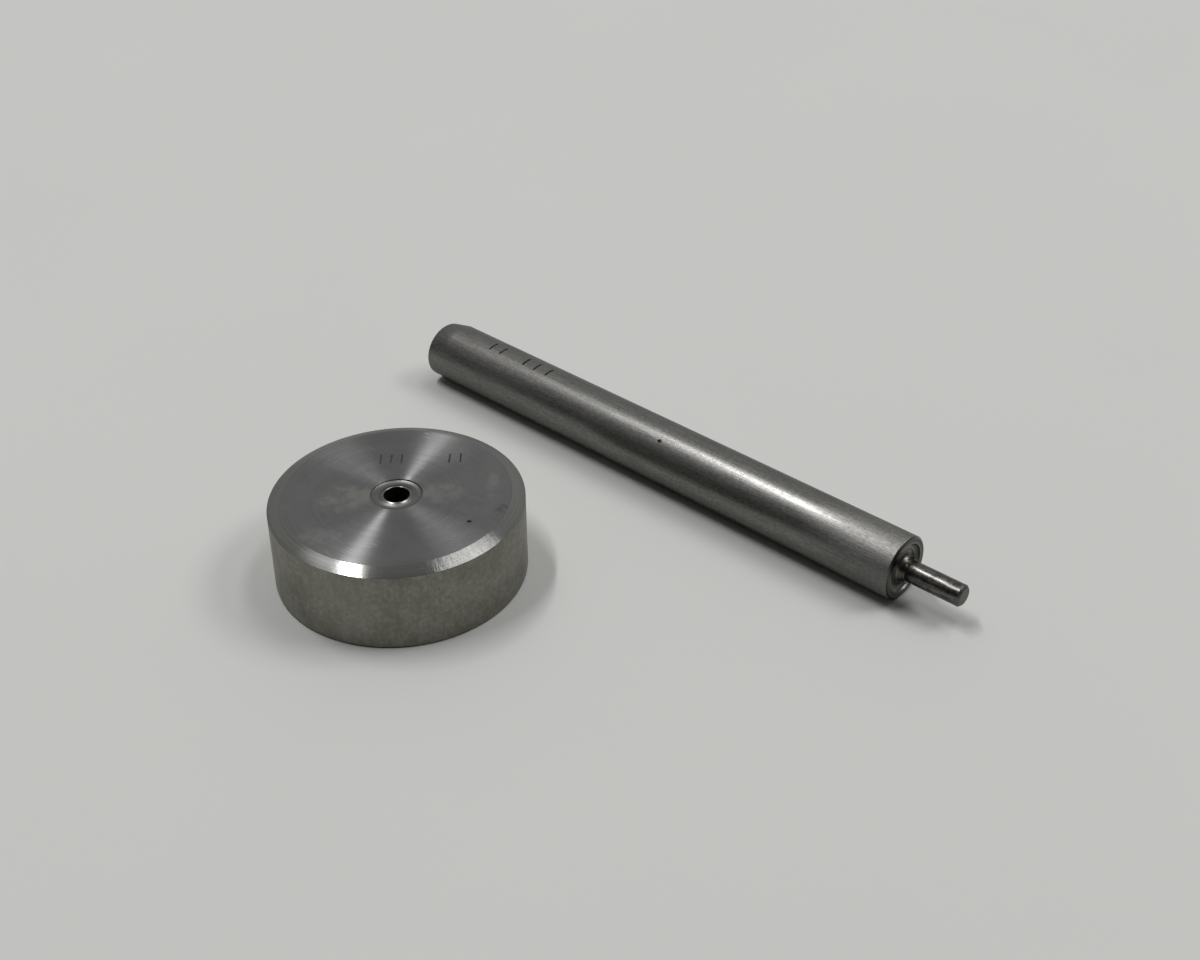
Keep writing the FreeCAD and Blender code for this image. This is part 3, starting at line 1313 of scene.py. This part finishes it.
@dataclass
class Studio:
    """The bench, the lamps, the room's own light and the camera.

    Attributes:
        lamp_height: The lamps' height above the bench, in metres.
        lamp_heading: The way that the lamps' long sides run, in degrees from +X.
        room_low: The room's light near the bench.
        room_high: Its light overhead.
        room_behind: How much more there is behind the bench.
        room_front_share: How much of it is left in front of the bench.
        camera_place: The camera's place, in millimetres.
        camera_dip: How far the camera looks down, in radians.
        camera_roll: How far it is rolled, in radians.
        camera_lens: Its focal length, in millimetres.
        camera_shift: Its shift, as shares of the picture's width.
    """

    bench_colour: Colour = (189, 190, 187)
    bench_radius: float = 6.0
    lamp_height: float = 1.8
    lamp_heading: float = 90.0
    lamps: tuple[CeilingLamp, ...] = (
        CeilingLamp("left_lamp", (-0.61, 0.24), 0.1, 1.02, 17.0),
        CeilingLamp("left_haze", (-0.9, 0.7), 0.5, 0.9, 2.2),
        CeilingLamp("right_lamp", (0.62, 0.34), 0.3, 0.96, 7.2),
        CeilingLamp("right_haze", (1.6, 0.25), 0.8, 1.0, 20.0),
    )
    room_low: float = 0.1
    room_high: float = 0.32
    room_behind: float = 0.4
    room_front_share: float = 0.15
    camera_place: Triple = (39.139, -252.374, 197.812)
    camera_dip: float = 0.567
    camera_roll: float = -0.004
    camera_lens: float = 50.39
    camera_shift: Point = (-0.00674, -0.0667)

    def lay_bench(self) -> None:
        """Lays the plain pale bench that the tool stands on."""
        bpy.ops.object.select_all(action="DESELECT")
        bpy.ops.mesh.primitive_circle_add(vertices=96, radius=self.bench_radius, fill_type="NGON")
        bench = bpy.context.active_object
        bench.name = "bench"
        paint = bpy.data.materials.new("bench_paint")
        paint.use_nodes = True
        board = NodeBoard(paint.node_tree)
        shader = paint.node_tree.nodes["Principled BSDF"]
        place = board.add("ShaderNodeTexCoord").outputs["Object"]
        uneven = board.noise(place, 9.0, 3.0)
        paler = tuple(part + 3 for part in self.bench_colour)
        board.feed(shader.inputs["Base Color"], board.blend(uneven, self.bench_colour, paler))
        shader.inputs["Roughness"].default_value = 0.7
        shader.inputs["Specular IOR Level"].default_value = 0.25
        bench.data.materials.append(paint)

    def hang_lamps(self) -> None:
        """Hangs the long soft lamps."""
        for lamp in self.lamps:
            bpy.ops.object.light_add(type="AREA", location=(*lamp.beside, self.lamp_height))
            hung = bpy.context.active_object
            hung.name = lamp.name
            hung.rotation_euler.z = math.radians(self.lamp_heading)
            hung.data.shape = "RECTANGLE"
            hung.data.size = lamp.length
            hung.data.size_y = lamp.width
            hung.data.energy = lamp.power

    def light_room(self) -> None:
        """Gives the room its own soft light: darker low down in front, paler above and behind."""
        world = bpy.data.worlds.new("room")
        bpy.context.scene.world = world
        world.use_nodes = True
        board = NodeBoard(world.node_tree)
        world.node_tree.nodes.clear()
        way = board.add("ShaderNodeTexCoord").outputs["Generated"]
        _, back, up = board.add("ShaderNodeSeparateXYZ", {0: way}).outputs
        behind = board.math("POWER", board.math("MAXIMUM", back, 0.0), 2.0)
        above = board.remap(up, 0.0, 0.8, self.room_low, self.room_high)
        share = board.remap(back, -0.8, 0.3, self.room_front_share, 1.0)
        level = board.math("MULTIPLY_ADD", behind, self.room_behind, board.times(above, share))
        warm_white = (1.0, 1.0, 0.985, 1.0)
        background = board.add("ShaderNodeBackground", {"Color": warm_white, "Strength": level})
        board.feed(board.add("ShaderNodeOutputWorld").inputs["Surface"], background.outputs[0])

    def set_camera(self) -> None:
        """Sets the camera at the photograph's viewing angle."""
        bpy.ops.object.camera_add(location=[part * MM for part in self.camera_place])
        camera = bpy.context.active_object
        camera.name = "camera"
        tilt = Matrix.Rotation(math.pi / 2 - self.camera_dip, 4, "X")
        camera.rotation_euler = (tilt @ Matrix.Rotation(self.camera_roll, 4, "Z")).to_euler()
        camera.data.sensor_width = 36.0
        camera.data.lens = self.camera_lens
        camera.data.shift_x, camera.data.shift_y = self.camera_shift
        camera.data.clip_start = 0.005
        bpy.context.scene.camera = camera

    def build(self) -> None:
        """Sets up the studio."""
        bpy.context.scene.view_settings.view_transform = "Standard"
        self.set_camera()
        self.lay_bench()
        self.hang_lamps()
        self.light_room()


def main() -> None:
    """Builds the studio and the three pieces, and reports each piece."""
    logging.basicConfig(level=logging.INFO, format="%(message)s")
    Studio().build()
    effects = EffectShelf()
    for part in (Anvil(), SetterShank(), PilotPin()):
        piece = part.build(effects)
        LOG.info("%s rides on %s: %d faces", piece.name, part.body, len(piece.data.polygons))


if __name__ == "__main__":
    main()
